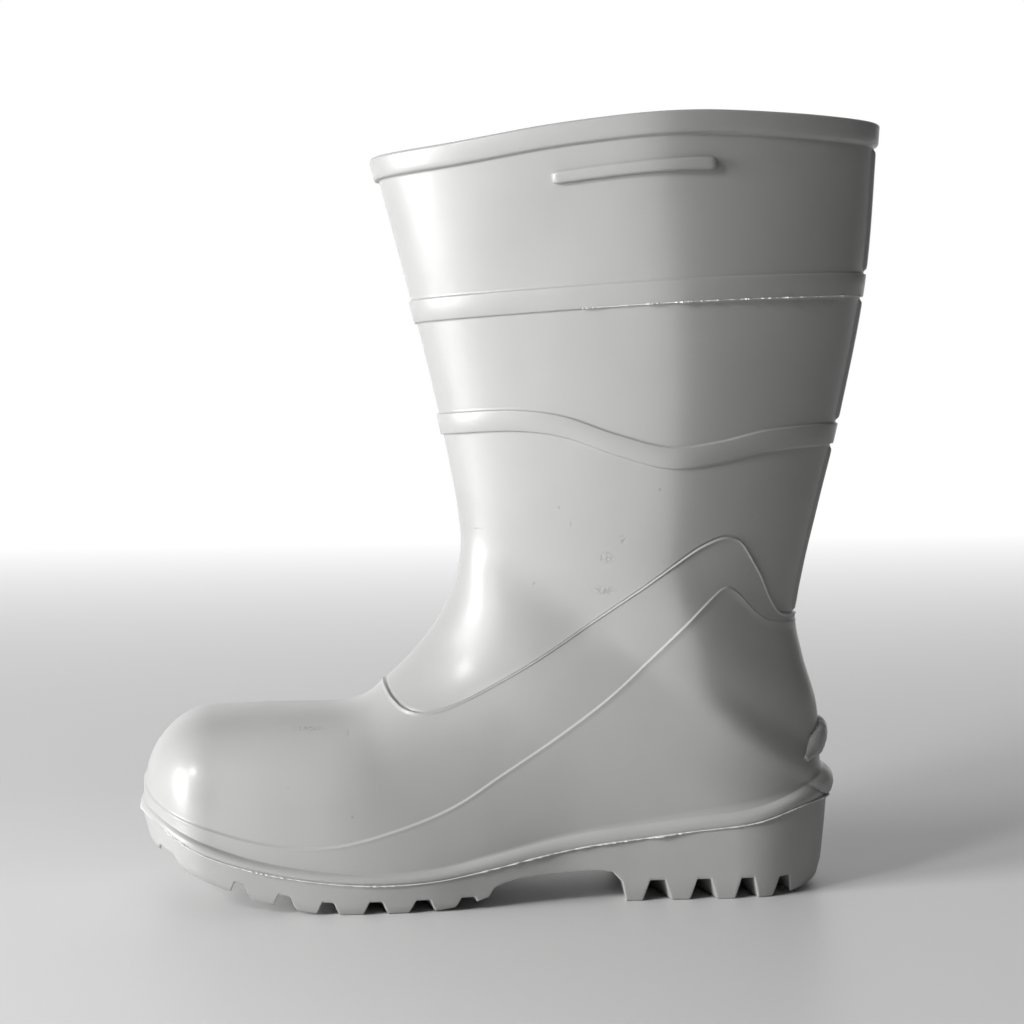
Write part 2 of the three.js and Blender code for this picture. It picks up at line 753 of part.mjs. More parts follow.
// A plate across the foot: one loop of points at each angle, from the toe to the heel
function plate(levels) {
  const half = angles.filter((angle) => angle <= Math.PI);
  return half.map((angle) => {
    const outer = levels.map((level) => level(angle));
    const inner = levels.map((level) => level(2 * Math.PI - angle));
    return [...inner, ...outer.reverse()];
  });
}

// A groove's cutter: it runs from the edge in to the middle rib, slanted towards the toe
function grooveCutter(row, lug, side) {
  const x = row.at * soleLength;
  const tilt = Math.atan(treadZ(x + 1) - treadZ(x));
  const edgeY = planHalf(x, side > 0 ? 'outer' : 'inner');
  const length = (edgeY + 20) / Math.cos(grooveSlant);
  const low = (row.width * grooveWidth) / 2;
  const root = low * grooveRoot;
  const depth = row.depth * lug;
  const mouth = mix(root, low, 2); // the cutter starts a groove's depth below the tread
  const section = new THREE.Shape([
    new THREE.Vector2(-mouth, -depth),
    new THREE.Vector2(mouth, -depth),
    new THREE.Vector2(root, depth),
    new THREE.Vector2(-root, depth),
  ]);
  const cutter = new THREE.ExtrudeGeometry(section, { depth: length, bevelEnabled: false });
  cutter.rotateX(Math.PI / 2);
  cutter.rotateY(-tilt);
  const ribX = x + Math.tan(grooveSlant) * (edgeY - middleRib / 2);
  if (side > 0) {
    cutter.translate(0, length, 0);
    cutter.rotateZ(grooveSlant);
    cutter.translate(ribX, middleRib / 2, treadZ(x));
  } else {
    cutter.rotateZ(-grooveSlant);
    cutter.translate(ribX, -middleRib / 2, treadZ(x));
  }
  return cutter.translate(-restX, 0, 0);
}

// The waist between heel and forefoot is cut away under the arch.
function archCutter() {
  const point = (row) => new THREE.Vector2(row.at * soleLength - restX, row.up * archHeight);
  const last = archLine[archLine.length - 1];
  const corners = [{ at: last.at, up: -1 }, { at: archLine[0].at, up: -1 }];
  const outline = new THREE.Shape([...archLine, ...corners].map(point));
  const cutter = new THREE.ExtrudeGeometry(outline, { depth: 2 * ballWidth, bevelEnabled: false });
  return cutter.rotateX(Math.PI / 2).translate(0, ballWidth, 0);
}

function outsole() {
  const levels = soleSide.map((row) => (angle) => {
    const point = outlinePoint(angle, lipFoot * lipOut(angle) - row.setIn);
    point.z = mix(treadZ(point.x), soleLineZ(point.x) - clearance, row.up);
    return point;
  });
  let solid = toSolid(bodyFrom(plate(levels), false)).subtract(toSolid(archCutter()));
  const cut = (row, lug, side) => {
    solid = solid.subtract(toSolid(grooveCutter(row, lug, side)));
  };
  for (const side of [1, -1]) {
    forefootGrooves.forEach((row) => cut(row, forefootLug, side));
    heelGrooves.forEach((row) => cut(row, heelLug, side));
  }
  return toGeometry(solid);
}

// The insole lies on the outsole, inside the upper's wall.
function insole() {
  const levels = [insoleThickness, 0].map((rise) => (angle) => {
    const point = skin(soleCourse, angle);
    const away = outward(point);
    point.addScaledVector(away, -wall);
    away.z = 0;
    point.addScaledVector(away.normalize(), -insoleMargin);
    point.z = soleLineZ(point.x) + rise;
    return point;
  });
  return toGeometry(toSolid(bodyFrom(plate(levels), false)));
}

function part(name, geometry, colour, roughness) {
  const material = new THREE.MeshStandardMaterial({ color: colour, roughness, metalness: 0 });
  const mesh = new THREE.Mesh(geometry, material);
  mesh.name = name;
  return mesh;
}

const boot = new THREE.Group();
boot.add(part('upper', upper(), 0xc9c9c7, 0.42));
boot.add(part('outsole', outsole(), 0xbdbdbb, 0.5));
boot.add(part('insole', insole(), 0xd8d6d0, 0.9));

export default boot;
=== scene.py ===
import bmesh
import bpy
import math
import numpy as np
from functools import partial
from mathutils import Matrix, Vector


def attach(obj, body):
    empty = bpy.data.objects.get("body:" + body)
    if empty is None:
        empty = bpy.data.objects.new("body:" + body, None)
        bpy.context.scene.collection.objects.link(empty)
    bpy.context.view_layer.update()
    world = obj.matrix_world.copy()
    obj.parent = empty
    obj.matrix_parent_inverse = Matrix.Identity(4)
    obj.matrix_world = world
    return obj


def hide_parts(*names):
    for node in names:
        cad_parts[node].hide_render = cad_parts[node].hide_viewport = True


# Moulded work boot, left foot, seen from its outer side.
# Shapes are worked out in millimetres with x counted from the back of the heel, then moved
# into the frame and turned into metres when a mesh is made.

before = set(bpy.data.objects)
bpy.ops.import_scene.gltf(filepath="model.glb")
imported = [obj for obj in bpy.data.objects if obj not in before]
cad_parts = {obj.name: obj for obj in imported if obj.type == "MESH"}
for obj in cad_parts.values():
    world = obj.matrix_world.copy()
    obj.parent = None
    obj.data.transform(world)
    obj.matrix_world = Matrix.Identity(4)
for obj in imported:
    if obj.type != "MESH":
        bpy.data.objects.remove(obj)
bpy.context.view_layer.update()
print("frame loaded:", sorted(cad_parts))


def added(name, data):
    holder = bpy.data.objects.new(name, data)
    bpy.context.scene.collection.objects.link(holder)
    return holder


# Camera: position and aim, in millimetres and degrees

camera = {
    "place": (99.1, 899.5, 210.1),
    "yaw": 2.0,      # towards the toe
    "pitch": 3.057,  # downwards
    "roll": -0.719,
    "lens": 73.73, "sensor": 36,
}


def addCamera():
    yaw, pitch, roll = (math.radians(camera[name]) for name in ("yaw", "pitch", "roll"))
    ahead = Vector((-math.sin(yaw) * math.cos(pitch), -math.cos(yaw) * math.cos(pitch), -math.sin(pitch)))
    right = Vector((-math.cos(yaw), math.sin(yaw), 0))
    up = right.cross(ahead)
    rolledRight = right * math.cos(roll) + up * math.sin(roll)
    rolledUp = up * math.cos(roll) - right * math.sin(roll)
    data = bpy.data.cameras.new("camera")
    data.lens = camera["lens"]
    data.sensor_width = camera["sensor"]
    holder = added("camera", data)
    turn = Matrix((rolledRight, rolledUp, -ahead)).transposed().to_4x4()
    holder.matrix_world = Matrix.Translation(Vector(camera["place"]) / 1000) @ turn
    bpy.context.scene.camera = holder


addCamera()

# The boot's sizes. They are the solids' own, but for toeDrop, which is rounder here

boot = {
    "soleLength": 296, "ankleLength": 148, "collarLength": 214,
    "ankleSetIn": 9, "collarOverhang": 22,
    "ballWidth": 108, "heelWidth": 77, "ankleWidth": 75, "collarWidth": 104,
    "toeSwing": 9, "swingCurve": 1.6, "toeBulge": 2.5, "sideBulge": 4.5,
    "bootHeight": 325, "ankleHeight": 144, "vampHeight": 80, "toeTipHeight": 44,
    "archHeight": 14, "toeSpring": 27, "heelRoll": 6,
    "wall": 2.6, "clearance": 0.4, "lipHeight": 5, "lipFoot": 0.85, "heelTuck": 0.5,
    "toeAt": 0.885, "heelAt": 0.15, "restAt": 0.2265,   # shares of the sole's length
    "toeRound": 2.2, "heelRound": 2.1, "toeDrop": 2.2,  # 2 is a circle, and more is squarer
}
soleLength = boot["soleLength"]
toeTip = soleLength - boot["toeBulge"]
toeStart = boot["toeAt"] * soleLength
heelStart = boot["heelAt"] * soleLength
heelEnd = boot["sideBulge"] - boot["heelTuck"]
heelHalf = boot["heelWidth"] / 2 - boot["sideBulge"]
ballHalf = boot["ballWidth"] / 2 - boot["sideBulge"]
ankleFront = boot["ankleSetIn"] + boot["ankleLength"]
collarBack = -boot["collarOverhang"]
collarFront = collarBack + boot["collarLength"]
restX = boot["restAt"] * soleLength
wall = boot["wall"]

# Foot: where each section starts on the sole, where and how high it ends, its half widths on
# the way from heel to ball, where it is widest, and how square it is over and under that
footColumns = ("start", "end", "top", "outer", "inner", "belly", "crown", "side")
footRows = (
    (0.885, 1.000, 0.985, 1.06, 1.00, 0.20, 2.7, 2.0),
    (0.811, 0.790, 0.996, 1.12, 1.03, 0.21, 2.6, 2.0),
    (0.726, 0.552, 1.004, 1.12, 0.98, 0.22, 2.5, 2.0),
    (0.665, 0.445, 1.025, 1.05, 0.87, 0.22, 2.4, 2.0),
    (0.595, 0.371, 1.086, 0.90, 0.65, 0.22, 2.2, 2.0),
    (0.507, 0.300, 1.203, 0.67, 0.39, 0.24, 2.0, 2.0),
    (0.412, 0.210, 1.344, 0.44, 0.19, 0.27, 1.9, 2.0),
    (0.311, 0.124, 1.516, 0.29, 0.13, 0.31, 1.9, 2.0),
    (0.209, 0.057, 1.703, 0.23, 0.15, 0.35, 2.0, 2.0),
    (0.122, 0.022, 1.850, 0.22, 0.19, 0.38, 2.0, 2.1),
)

# Heel and leg: how far the back and the front have moved from ankle to collar, their heights,
# the half width on the way from ankle to collar, and the same three shape numbers
legColumns = ("back", "low", "front", "top", "flare", "belly", "crown", "side")
legRows = (
    (0.16, 0.500, 0.000, 2.015, 0.00, 0.37, 2.0, 2.2),
    (0.17, 0.700, 0.000, 2.050, 0.00, 0.37, 2.0, 2.2),
    (0.13, 0.975, 0.017, 2.090, 0.00, 0.38, 2.0, 2.1),
    (-0.05, 1.280, 0.045, 2.133, 0.01, 0.39, 2.0, 2.1),
    (-0.16, 1.578, 0.094, 2.188, 0.03, 0.40, 2.0, 2.1),
    (-0.06, 1.890, 0.157, 2.254, 0.10, 0.40, 2.0, 2.0),
    (0.16, 2.116, 0.257, 2.348, 0.24, 0.41, 2.0, 2.0),
    (0.48, 2.337, 0.443, 2.508, 0.45, 0.42, 2.0, 2.0),
    (0.83, 2.646, 0.686, 2.696, 0.72, 0.45, 1.9, 1.9),
    (1.00, 3.000, 1.000, 2.934, 1.00, 0.46, 1.8, 1.8),
)

# Half widths where the upper meets the sole: place along it, outer, inner
planRows = (
    (0.000, 0.00, 0.00), (0.150, 0.00, 0.00), (0.300, 0.04, -0.06), (0.400, 0.13, -0.19),
    (0.490, 0.45, 0.06), (0.575, 0.81, 0.45), (0.660, 1.03, 0.77), (0.730, 1.08, 0.93),
    (0.811, 1.08, 0.97), (1.000, 1.00, 0.95),
)

# The line where upper and sole meet, from toe to heel: place, height, height of the lip
soleRows = (
    (0.00, 0.500, 0.7), (0.03, 0.462, 0.7), (0.10, 0.325, 0.9), (0.18, 0.238, 0.8),
    (0.27, 0.183, 0.8), (0.35, 0.163, 0.8), (0.43, 0.173, 0.9), (0.51, 0.219, 1.1),
    (0.58, 0.269, 1.2), (0.65, 0.313, 1.2), (0.74, 0.350, 1.2), (0.80, 0.375, 1.2),
    (0.89, 0.410, 1.2), (0.96, 0.475, 1.5), (1.00, 0.494, 2.4),
)

# Lines round the upper, from its front edge to its back edge: place, height
collarRows = ((0.00, 2.934), (0.15, 2.950), (0.36, 2.983), (0.60, 3.006), (0.78, 3.007), (1.00, 3.000))
straightRows = ((0.00, 2.602), (0.50, 2.629), (1.00, 2.652))
waveRows = (
    (0.00, 2.337), (0.18, 2.343), (0.30, 2.328), (0.43, 2.285),
    (0.56, 2.254), (0.68, 2.266), (0.80, 2.290), (1.00, 2.304),
)
upperPanelRows = (
    (0.00, 1.172), (0.02, 1.090), (0.05, 1.025), (0.10, 1.000), (0.17, 1.050), (0.27, 1.188),
    (0.41, 1.420), (0.60, 1.780), (0.73, 2.012), (0.79, 2.040), (0.82, 2.044), (0.85, 2.034),
    (0.88, 1.968), (0.90, 1.870), (0.923, 1.720), (0.945, 1.625), (0.975, 1.590), (1.00, 1.590),
)
lowerPanelRows = (
    (0.00, 0.650), (0.02, 0.580), (0.10, 0.462), (0.20, 0.370), (0.29, 0.358), (0.39, 0.437),
    (0.47, 0.540), (0.54, 0.687), (0.63, 0.888), (0.72, 1.156), (0.81, 1.530), (0.85, 1.700),
    (0.88, 1.800), (0.90, 1.760), (0.923, 1.650), (0.945, 1.575), (0.975, 1.545), (1.00, 1.545),
)


def mix(a, b, share):
    return a + (b - a) * share


def smooth(value, low, high):
    share = np.clip((value - low) / (high - low), 0, 1)
    return share * share * (3 - 2 * share)


def heightAt(share):
    # 1 is the top of the vamp, 2 the ankle, 3 the back of the collar
    levels = (0, boot["vampHeight"], boot["ankleHeight"], boot["bootHeight"])
    over = np.maximum(np.asarray(share) - 3, 0) * (levels[3] - levels[2])
    return np.interp(share, (0, 1, 2, 3), levels) + over


def readRow(column, place):
    # a column read smoothly at a place counted in rows
    last = len(column) - 1
    i = np.clip(np.floor(place).astype(int), 0, last - 1)
    t = place - i
    ends = (2 * column[0] - column[1], 2 * column[-1] - column[-2])
    padded = np.concatenate(([ends[0]], column, [ends[1]]))
    a, b, c, d = (padded[i + k] for k in range(4))
    curve = (2 * a - 5 * b + 4 * c - d) * t * t + (3 * b - a - 3 * c + d) * t ** 3
    return 0.5 * (2 * b + (c - a) * t + curve)


def readAt(rows, at, column=1):
    # a column read smoothly at a value of the first column
    table = np.array(rows, float)
    places, values = table[:, 0], table[:, column]
    last = len(places) - 1
    before = np.maximum(np.arange(last + 1) - 1, 0)
    after = np.minimum(np.arange(last + 1) + 1, last)
    slopes = (values[after] - values[before]) / (places[after] - places[before])
    i = np.clip(np.searchsorted(places, at) - 1, 0, last - 1)
    span = places[i + 1] - places[i]
    rise = values[i + 1] - values[i]
    t = np.clip((at - places[i]) / span, 0, 1)
    bend = (slopes[i] * span - rise) * (1 - t) - (slopes[i + 1] * span - rise) * t
    return values[i] + rise * t + bend * t * (1 - t)


def roundOff(t, power):
    return (1 - np.clip(t, 0, 1) ** power) ** (1 / power)


# The leg's sides are flatter than the foot's. They turn flat in the rows near the heel's, over
# the widest place and under it
flank = {"corner": 0.12, "narrowing": 0.45, "power": 2.8, "over": (-2, 1), "under": (0, 1.3)}


def flatOff(t, power, flat):
    # like roundOff, with straight flanks that meet in a soft corner
    fall = np.sqrt(np.clip(t, 0, 1) ** 2 + flank["corner"] ** 2) - flank["corner"]
    return (1 - flank["narrowing"] * flat * fall) * roundOff(t, mix(power, flank["power"], flat))


def inHeights(rows):
    return tuple((row[0], float(heightAt(row[1]))) for row in rows)


collarLine = inHeights(collarRows)
straightLine = inHeights(straightRows)
waveLine = inHeights(waveRows)
upperPanelLine = inHeights(upperPanelRows)
lowerPanelLine = inHeights(lowerPanelRows)
soleLine = inHeights(soleRows)
lipLine = tuple((at, float(heightAt(up)) + lip * boot["lipHeight"]) for at, up, lip in soleRows)


def soleLineZ(x):
    return readAt(soleLine, np.clip((toeTip - x) / (toeTip - heelEnd), 0, 1))


def toeReach(x):
    return (x - toeStart) / (toeTip - toeStart)


def planHalf(x, onOuter):
    at = np.asarray(x / soleLength)
    share = np.where(onOuter, readAt(planRows, at, 1), readAt(planRows, at, 2))
    heelReach = (heelStart - x) / (heelStart - heelEnd)
    ends = roundOff(toeReach(x), boot["toeRound"]) * roundOff(heelReach, boot["heelRound"])
    return mix(heelHalf, ballHalf, share) * ends


def buildSections():
    foot = dict(zip(footColumns, np.array(footRows).T))
    leg = dict(zip(legColumns, np.array(legRows).T))
    starts = foot["start"] * soleLength
    legHalf = mix(boot["ankleWidth"], boot["collarWidth"], leg["flare"]) / 2
    parts = {
        "frontX": (mix(ankleFront, toeStart, foot["end"]), mix(ankleFront, collarFront, leg["front"])),
        "frontZ": (heightAt(foot["top"]), heightAt(leg["top"])),
        "backX": (starts, mix(boot["ankleSetIn"], collarBack, leg["back"])),
        "backZ": (soleLineZ(starts), heightAt(leg["low"])),
        "outer": (mix(heelHalf, ballHalf, foot["outer"]), legHalf),
        "inner": (mix(heelHalf, ballHalf, foot["inner"]), legHalf),
    }
    for name in ("belly", "crown", "side"):
        parts[name] = (foot[name], leg[name])
    return {name: np.concatenate(pair) for name, pair in parts.items()}


sections = buildSections()
heelRow = len(footRows)
collarRow = len(footRows) + len(legRows) - 1


def toeTopZ(x):
    return mix(boot["toeTipHeight"], sections["frontZ"][0], roundOff(toeReach(x), boot["toeDrop"]))


def placeOf(x, z):
    # which section runs through a point of the side view
    low = np.zeros_like(x)
    high = np.full_like(x, collarRow)
    for _ in range(26):
        middle = (low + high) / 2
        backX = readRow(sections["backX"], middle)
        backZ = readRow(sections["backZ"], middle)
        alongX = readRow(sections["frontX"], middle) - backX
        alongZ = readRow(sections["frontZ"], middle) - backZ
        above = alongX * (z - backZ) > alongZ * (x - backX)
        low = np.where(above, middle, low)
        high = np.where(above, high, middle)
    return (low + high) / 2


def halfWidth(x, z, onOuter):
    inToe = x > toeStart
    place = np.where(inToe, 0.0, placeOf(x, z))
    value = {name: readRow(column, place) for name, column in sections.items()}
    backX = np.where(inToe, x, value["backX"])
    backZ = np.where(inToe, soleLineZ(x), value["backZ"])
    alongX = np.where(inToe, 0.0, value["frontX"] - backX)
    alongZ = np.where(inToe, toeTopZ(x), value["frontZ"]) - backZ
    length = alongX ** 2 + alongZ ** 2
    share = np.clip(((x - backX) * alongX + (z - backZ) * alongZ) / length, 0, 1)
    widest = np.where(onOuter, value["outer"], value["inner"])
    widest = widest * np.where(inToe, roundOff(toeReach(x), boot["toeRound"]), 1.0)
    belly = value["belly"]
    over = flatOff((share - belly) / (1 - belly), value["crown"], smooth(place - heelRow, *flank["over"]))
    foot = np.where(place < heelRow, planHalf(backX, onOuter) / np.maximum(widest, 1e-6), 0.0)
    tucked = roundOff(np.minimum(foot, 1), value["side"]) * (belly - share) / belly
    under = flatOff(tucked, value["side"], smooth(place - heelRow, *flank["under"]))
    return widest * np.where(share >= belly, over, under)


def measured(points):
    points = np.array(points)
    steps = np.hypot(*np.diff(points, axis=0).T)
    shares = np.concatenate(([0], np.cumsum(steps)))
    return {"share": shares / shares[-1], "x": points[:, 0], "z": points[:, 1]}


def buildOutlines(steps=400):
    down = np.linspace(collarRow, 0, steps)
    front = np.stack((readRow(sections["frontX"], down), readRow(sections["frontZ"], down)), axis=1)
    toeX = mix(toeStart, toeTip, np.sin(np.linspace(0, math.pi / 2, steps // 4)[1:]))
    toe = np.stack((toeX, toeTopZ(toeX)), axis=1)
    tip = [(toeTip, float(soleLineZ(np.array(toeTip))))]
    toHeel = np.linspace(collarRow, heelRow, steps)
    back = np.stack((readRow(sections["backX"], toHeel), readRow(sections["backZ"], toHeel)), axis=1)
    return measured(np.concatenate((front, toe, tip))), measured(back)


frontLine, backLine = buildOutlines()


def pointOn(line, share):
    share = np.clip(share, 0, 1)
    return np.interp(share, line["share"], line["x"]), np.interp(share, line["share"], line["z"])


def shareAt(line, z):
    return float(np.interp(-z, -line["z"], line["share"]))


def outward(x, y, z, onOuter, step=0.5):
    # from how fast the square of the half width changes
    slopeX = (halfWidth(x + step, z, onOuter) ** 2 - halfWidth(x - step, z, onOuter) ** 2) / (2 * step)
    slopeZ = (halfWidth(x, z + step, onOuter) ** 2 - halfWidth(x, z - step, onOuter) ** 2) / (2 * step)
    away = np.stack((-slopeX, 2 * y, -slopeZ), axis=-1)
    return away / np.maximum(np.linalg.norm(away, axis=-1, keepdims=True), 1e-9)


def skinPoints(x, z, onOuter, closed):
    # closed marks the points that lie on the boot's outline from the side
    half = np.where(closed, 0.0, halfWidth(x, z, onOuter))
    y = np.where(onOuter, half, -half)
    return np.stack((x, y, z), axis=-1), outward(x, y, z, onOuter)


def swung(points):
    # the foot curves to its inner side from the waist to the toe; the result is in metres
    reach = np.clip((points[..., 0] / soleLength - 0.5) * 2, 0, 1)
    moved = np.array(points, float)
    moved[..., 0] -= restX
    moved[..., 1] -= boot["toeSwing"] * reach ** boot["swingCurve"]
    return moved / 1000


def loopMesh(name, rows, closedRows=False, sharpAngle=None):
    # rows of points in millimetres, each a loop; with closed rows the last joins the first
    count, width = rows.shape[:2]
    ids = np.arange(count * width).reshape(count, width)
    nextRow = np.roll(ids, -1, axis=0) if closedRows else ids[1:]
    thisRow = ids if closedRows else ids[:-1]
    corners = (thisRow, nextRow, np.roll(nextRow, -1, axis=1), np.roll(thisRow, -1, axis=1))
    faces = np.stack(corners, axis=-1).reshape(-1, 4)
    mesh = bpy.data.meshes.new(name)
    mesh.from_pydata(swung(rows).reshape(-1, 3).tolist(), [], faces.tolist())
    work = bmesh.new()
    work.from_mesh(mesh)
    bmesh.ops.remove_doubles(work, verts=work.verts, dist=0.00001)
    bmesh.ops.recalc_face_normals(work, faces=work.faces)
    work.to_mesh(mesh)
    work.free()
    mesh.shade_smooth()
    if sharpAngle:
        mesh.set_sharp_from_angle(angle=math.radians(sharpAngle))
    return added(name, mesh)


# Upper: rows follow the courses from the collar to the sole line, columns run round the boot

upper = {
    "columns": 132,        # on each side, in front of the back strip
    "stripColumns": 22,
    "collarBand": 9.5, "collarProud": 2.0, "rimRound": 1.2,
    "straightBand": 9.7, "waveBand": 9.0, "bandProud": 1.2,
    "panelStep": 0.6, "panelBead": 0.5, "lowerBead": 0.2, "panelGroove": 0.3, "panelLead": 0.6,
    "panelFade": (0.78, 0.92),                         # where the lower step fades, from front to back
    "stripProud": 1.2, "stripSpread": 0.2, "stripMargin": 0.05, "stripGroove": 0.75,
    "stripSide": (-0.035, 0.01), "grooveSide": (0.18, 0.42),
    "toeLip": (0, 0.15),                               # where the lip is still the toe's narrow one
    "liningTop": 2.5,
}

# Profiles across the edges: millimetres past the edge, share of the height there
collarEdge = ((0, 0.0), (0.1, 0.35), (0.5, 0.8), (1.2, 1.0), (3, 1.0))
bandEdge = ((-0.2, 0.0), (0.0, 0.15), (0.1, 0.55), (0.28, 0.88), (0.6, 1.0))
stripEdge = ((1.0, 0.0), (1.6, 0.45), (2.3, 0.85), (3.4, 1.0))
# The lip's: share of the way down it, share of how far it stands out
lipEdge = (
    (0.0, 0.0), (0.06, 0.25), (0.15, 0.55), (0.27, 0.78), (0.40, 0.93), (0.55, 1.0),
    (0.70, 1.0), (0.83, 0.95), (0.93, 0.89), (1.0, 0.85),
)


def shareOf(around):
    # an angle round the boot, as a share of the way from its front edge to its back edge
    return (1 - np.cos(around)) / 2


def sideAngles():
    edge = math.pi - upper["stripSpread"] - upper["stripMargin"]
    front = np.linspace(0, edge, upper["columns"], endpoint=False)
    strip = np.linspace(edge, math.pi, upper["stripColumns"])
    return np.concatenate((front, strip))


halfAngles = sideAngles()
angles = np.concatenate((halfAngles, (2 * math.pi - halfAngles[1:-1])[::-1]))
backShare = shareOf(angles)


def course(rows, drop=0.0, shares=backShare):
    first = rows[0][1] - drop
    last = rows[-1][1] - drop
    bow = readAt(rows, shares) - drop - mix(first, last, shares)
    return {"front": shareAt(frontLine, first), "back": shareAt(backLine, last), "bow": bow}


def between(a, b, share, lead=1.0):
    return {
        "front": mix(a["front"], b["front"], share),
        "back": mix(a["back"], b["back"], share),
        "bow": mix(a["bow"], b["bow"], share ** lead),
    }


def onCourse(line, share):
    # where a course runs in the side view
    frontX, frontZ = pointOn(frontLine, line["front"])
    backX, backZ = pointOn(backLine, line["back"])
    return mix(frontX, backX, share), mix(frontZ, backZ, share) + line["bow"]


def placed(courses, around, level=()):
    # courses with how far each stands out, turned into rows of points
    ends = {name: np.array([line[name] for line, _ in courses])[:, None] for name in ("front", "back")}
    bow = np.array([line["bow"] for line, _ in courses])
    out = np.array([np.broadcast_to(amount, around.shape) for _, amount in courses])
    x, z = onCourse({**ends, "bow": bow}, shareOf(around))
    onOuter = np.broadcast_to(around <= math.pi, x.shape)
    closed = np.broadcast_to(np.abs(np.sin(around)) < 1e-9, x.shape)
    points, away = skinPoints(x, z, onOuter, closed)
    away = away * out[..., None]
    for row in level:
        away[row, :, 2] = 0
    points = points + away
    for row in level:
        points[row, :, 2] = soleLineZ(points[row, :, 0])
    return points


def stripOut(share=1.0):
    off = np.abs(angles - math.pi)
    rib = 1 - smooth(off - upper["stripSpread"], *upper["stripSide"])
    groove = 1 - smooth(off / upper["stripSpread"], *upper["grooveSide"])
    return upper["stripProud"] * share * rib * (1 - upper["stripGroove"] * groove)


def lipOut(around):
    return mix(boot["toeBulge"], boot["sideBulge"], smooth(shareOf(around), *upper["toeLip"]))


def lowerPanelOut():
    return upper["panelStep"] * (2 - smooth(backShare, *upper["panelFade"]))


def bandRows(line, height, proud):
    top = [(line(drop), proud * share) for drop, share in bandEdge]
    middle = [(line(height / 2), proud)]
    bottom = [(line(height - drop), proud * share) for drop, share in reversed(bandEdge)]
    return top + middle + bottom


def spreadRows(a, b, count, out, lead=1.0):
    return [(between(a, b, (i + 1) / (count + 1), lead), out) for i in range(count)]


def stripRows(line, direction):
    # the back strip rises over a few millimetres beside a band
    rows = [(line(direction * drop), stripOut(share)) for drop, share in stripEdge]
    return rows if direction > 0 else rows[::-1]


def outerCourses():
    collar = partial(course, collarLine)
    straight = partial(course, straightLine)
    wave = partial(course, waveLine)
    upperPanel = partial(course, upperPanelLine)
    lowerPanel = partial(course, lowerPanelLine)
    lip = course(lipLine)
    sole = course(soleLine)
    band, straightBand, waveBand = upper["collarBand"], upper["straightBand"], upper["waveBand"]
    strip = stripOut()
    stripEnd = stripEdge[-1][0]

    # collar
    proud = upper["collarProud"]
    rows = []
    for turn in np.linspace(math.pi, 0, 11):
        out = (proud - wall + (proud + wall) * math.cos(turn)) / 2
        rows.append((collar(upper["rimRound"] * (1 - math.sin(turn))), out))
    rows += [(collar(band - drop), proud * share) for drop, share in reversed(collarEdge)]

    # shaft with its two bands
    rows += stripRows(lambda drop: collar(band + drop), 1)
    rows += spreadRows(collar(band + stripEnd), straight(-stripEnd), 13, strip)
    rows += stripRows(straight, -1)
    rows += bandRows(straight, straightBand, upper["bandProud"])
    rows += stripRows(lambda drop: straight(straightBand + drop), 1)
    rows += spreadRows(straight(straightBand + stripEnd), wave(-stripEnd), 10, strip)
    rows += stripRows(wave, -1)
    rows += bandRows(wave, waveBand, upper["bandProud"])
    rows += stripRows(lambda drop: wave(waveBand + drop), 1)
    rows += spreadRows(wave(waveBand + stripEnd), upperPanel(-2.6), 20, strip)

    # upper panel, with a fine groove and a bead along its edge
    panel = upper["panelStep"]
    crest = panel + upper["panelBead"]
    groove = -upper["panelGroove"]
    edge = (
        (-1.6, stripOut(0.6)), (-1.0, 0.05), (-0.55, groove * 0.8), (-0.25, groove), (0.0, panel * 0.3),
        (0.25, crest * 0.95), (0.6, crest), (1.1, panel + 0.05), (1.8, panel),
    )
    rows += [(upperPanel(drop), out) for drop, out in edge]
    rows += spreadRows(upperPanel(1.8), lowerPanel(-1.6), 26, panel, upper["panelLead"])

    # lower panel
    lower = lowerPanelOut()
    bead = lower + upper["lowerBead"]
    edge = (
        (-1.0, panel), (-0.4, panel - 0.05), (0.0, mix(panel, lower, 0.5)),
        (0.35, bead), (0.8, bead), (1.5, lower),
    )
    rows += [(lowerPanel(drop), out) for drop, out in edge]
    rows += spreadRows(lowerPanel(1.5), lip, 24, lower)

    # lip over the sole
    reach = lipOut(angles)
    for down, share in lipEdge:
        line = between(lip, sole, down) if down < 1 else sole
        rows.append((line, mix(lower, reach, share) if down < 0.5 else share * reach))
    return rows


def innerCourses(out):
    # from the sole line up to the collar, for the upper's inside and the lining's two sides
    collar = course(collarLine, upper["liningTop"])
    straight = course(straightLine)
    upperPanel = course(upperPanelLine)
    lowerPanel = course(lowerPanelLine)
    lip = course(lipLine)
    rows = [(course(soleLine), out), (lip, out)]
    rows += spreadRows(lip, lowerPanel, 8, out)
    rows += spreadRows(upperPanel, lowerPanel, 10, out, upper["panelLead"])[::-1]
    rows += spreadRows(upperPanel, straight, 12, out)
    rows += spreadRows(straight, collar, 6, out)
    return rows


def buildUpper():
    outer = outerCourses()
    inner = innerCourses(-wall)
    rows = placed(outer + inner, angles, level=(len(outer) - 1, len(outer)))
    piece = loopMesh("bootUpper", rows, closedRows=True)
    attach(piece, "root")
    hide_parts("upper")
    print("upper:", len(piece.data.polygons), "faces")
    return piece


bootUpper = buildUpper()

# Grip bar under the collar and spur behind the heel, as rounded ridges on the skin

grip = {
    "length": 68, "height": 5.2, "proud": 3.0, "drop": 21.5, "centre": 0.49, "ends": 0.72,
    "square": 0.55, "steps": 60,
}
spur = {
    "height": 67, "fall": 11, "length": 9, "thick": 10, "proud": 4.5, "taper": 0.4, "ends": 0.3,
    "curl": 1.4, "toothDepth": 0.035, "toothRate": 42, "steps": 110,
}
ridgeSunk = 0.75 * wall


